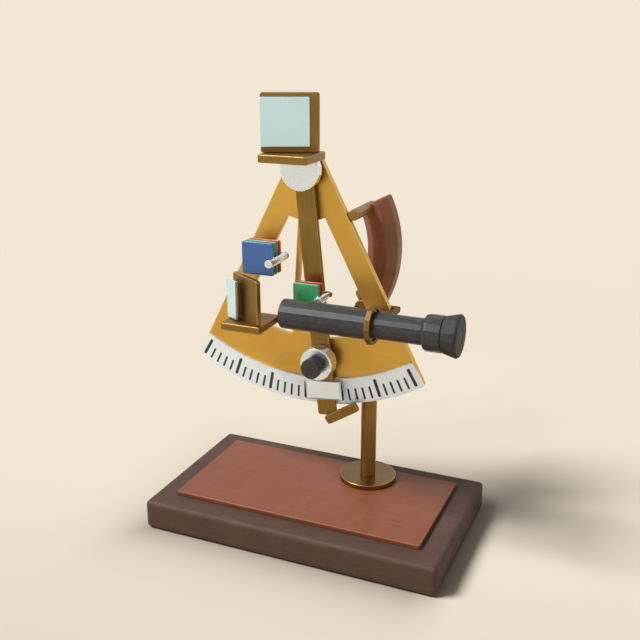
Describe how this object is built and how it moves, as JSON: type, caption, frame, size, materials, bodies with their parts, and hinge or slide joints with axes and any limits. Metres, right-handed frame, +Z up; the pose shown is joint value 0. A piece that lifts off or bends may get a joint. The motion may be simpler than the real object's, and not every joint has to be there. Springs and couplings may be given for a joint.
{
  "type": "sextant on a display stand",
  "caption": "Brass sextant with silvered arc, swinging index arm with mirror and geared drum, horizon mirror, colour shades, telescope and grip, on a column over a wooden plinth.",
  "frame": {"origin": "middle of the stand's underside, on the table", "axes": "+Z up, +X along the telescope toward the eye, -Y toward the reader of the scale"},
  "size_m": [0.26, 0.1599, 0.3675],
  "materials": {
    "plinth_wood": "dark stained wood with a soft satin polish",
    "panel_wood": "reddish wood panel with a satin varnish",
    "felt": "green felt",
    "bright_brass": "polished golden brass with a satin lacquer",
    "dark_brass": "darker bronzed brass with a satin lacquer",
    "gear_brass": "fine machined brass",
    "silvered_scale": "silvered plate with black filled divisions",
    "silvered_metal": "bright silvered metal",
    "steel": "machined steel",
    "black_enamel": "dark grey satin enamel",
    "black_plastic": "black matt knob",
    "black_rubber": "dark rubber",
    "mirror_glass": "silvered mirror glass, pale blue",
    "lens_glass": "clear coated glass",
    "blue_glass": "dense blue filter glass",
    "green_glass": "dense green filter glass",
    "red_glass": "dense red filter glass",
    "grip_wood": "oiled brown wood"
  },
  "bodies": {
    "stand": {"plinth": "plinth_wood", "inlay_panel": "panel_wood", "base_felt": "felt", "stand_foot": "bright_brass", "stand_column": "dark_brass", "stand_bolt": "steel", "frame_bracket": "bright_brass", "frame": "bright_brass", "arc_scale": "silvered_scale", "frame_screws": "steel", "pivot_bush": "gear_brass", "index_shade_bracket": "steel", "index_shade_pin": "silvered_metal", "bridge": "dark_brass", "bridge_screws": "steel", "horizon_shelf": "dark_brass", "horizon_back": "dark_brass", "horizon_glass": "mirror_glass", "horizon_shade_pin": "silvered_metal", "telescope_bracket": "dark_brass", "telescope_tube": "black_enamel", "objective_lens": "lens_glass", "handle_grip": "grip_wood", "grip_screws": "steel", "upper_post": "dark_brass", "lower_post": "dark_brass"},
    "arm": {"index_arm": "dark_brass", "spindle": "steel", "spindle_nut": "gear_brass", "pivot_cap": "silvered_metal", "vernier_plate": "silvered_scale", "index_shelf": "dark_brass", "shelf_screws": "steel", "index_back": "dark_brass", "index_glass": "mirror_glass", "pinion_stud": "steel", "lever_spring": "steel"},
    "drum": {"drum_shaft": "steel", "micrometer_drum": "silvered_metal", "drum_knob": "black_plastic"},
    "pinion": {"drive_pinion": "gear_brass"},
    "lever": {"clamp_lever": "dark_brass", "clamp_shoe": "steel", "lever_pin": "dark_brass"},
    "blue": {"blue_shade": "blue_glass", "blue_barrel": "silvered_metal"},
    "green": {"green_shade": "green_glass", "green_barrel": "silvered_metal"},
    "red": {"red_shade": "red_glass", "red_barrel": "silvered_metal"},
    "horizon_green": {"horizon_green_shade": "green_glass", "horizon_green_barrel": "silvered_metal"},
    "horizon_red": {"horizon_red_shade": "red_glass", "horizon_red_barrel": "silvered_metal"},
    "draw": {"draw_tube": "silvered_metal", "eyepiece_barrel": "black_enamel", "eyecup": "black_rubber", "eye_lens": "lens_glass"}
  },
  "joints": [
    {"name": "arm_swing", "type": "hinge", "parent": "stand", "child": "arm", "pos_m": [-0.02, 0.017, 0.305], "axis": [0, -1, 0], "range_deg": [-31, 24]},
    {"name": "drum_spin", "type": "hinge", "parent": "arm", "child": "drum", "pos_m": [-0.003, 0.008, 0.14329], "axis": [0, -1, 0], "range_deg": [-852, 660]},
    {"name": "pinion_spin", "type": "hinge", "parent": "arm", "child": "pinion", "pos_m": [-0.00169, 0.0208, 0.13076], "axis": [0, -1, 0], "range_deg": [-726, 938]},
    {"name": "lever_press", "type": "hinge", "parent": "arm", "child": "lever", "pos_m": [0.0074, 0.016, 0.0921], "axis": [0, 1, 0], "range_deg": [0, 12], "stiffness_Nm_per_rad": 0.05, "springref_deg": -17.19, "deforming": ["lever_spring"]},
    {"name": "blue_shade_swing", "type": "hinge", "parent": "stand", "child": "blue", "pos_m": [-0.0355, 0.005, 0.232], "axis": [0, 1, 0], "range_deg": [0, 100]},
    {"name": "green_shade_swing", "type": "hinge", "parent": "stand", "child": "green", "pos_m": [-0.0355, 0.005, 0.232], "axis": [0, 1, 0], "range_deg": [0, 100]},
    {"name": "red_shade_swing", "type": "hinge", "parent": "stand", "child": "red", "pos_m": [-0.0355, 0.005, 0.232], "axis": [0, 1, 0], "range_deg": [0, 100]},
    {"name": "horizon_green_swing", "type": "hinge", "parent": "stand", "child": "horizon_green", "pos_m": [0.004, 0.005, 0.203], "axis": [0, 1, 0], "range_deg": [0, 100]},
    {"name": "horizon_red_swing", "type": "hinge", "parent": "stand", "child": "horizon_red", "pos_m": [0.004, 0.005, 0.203], "axis": [0, 1, 0], "range_deg": [0, 100]},
    {"name": "eyepiece_draw", "type": "slide", "parent": "stand", "child": "draw", "axis": [1, 0, 0], "range_m": [0, 0.012]}
  ],
  "couplings": [
    {"joint": "drum_spin", "follows": "arm_swing", "ratio": 27.455},
    {"joint": "pinion_spin", "follows": "arm_swing", "ratio": -30.2}
  ]
}
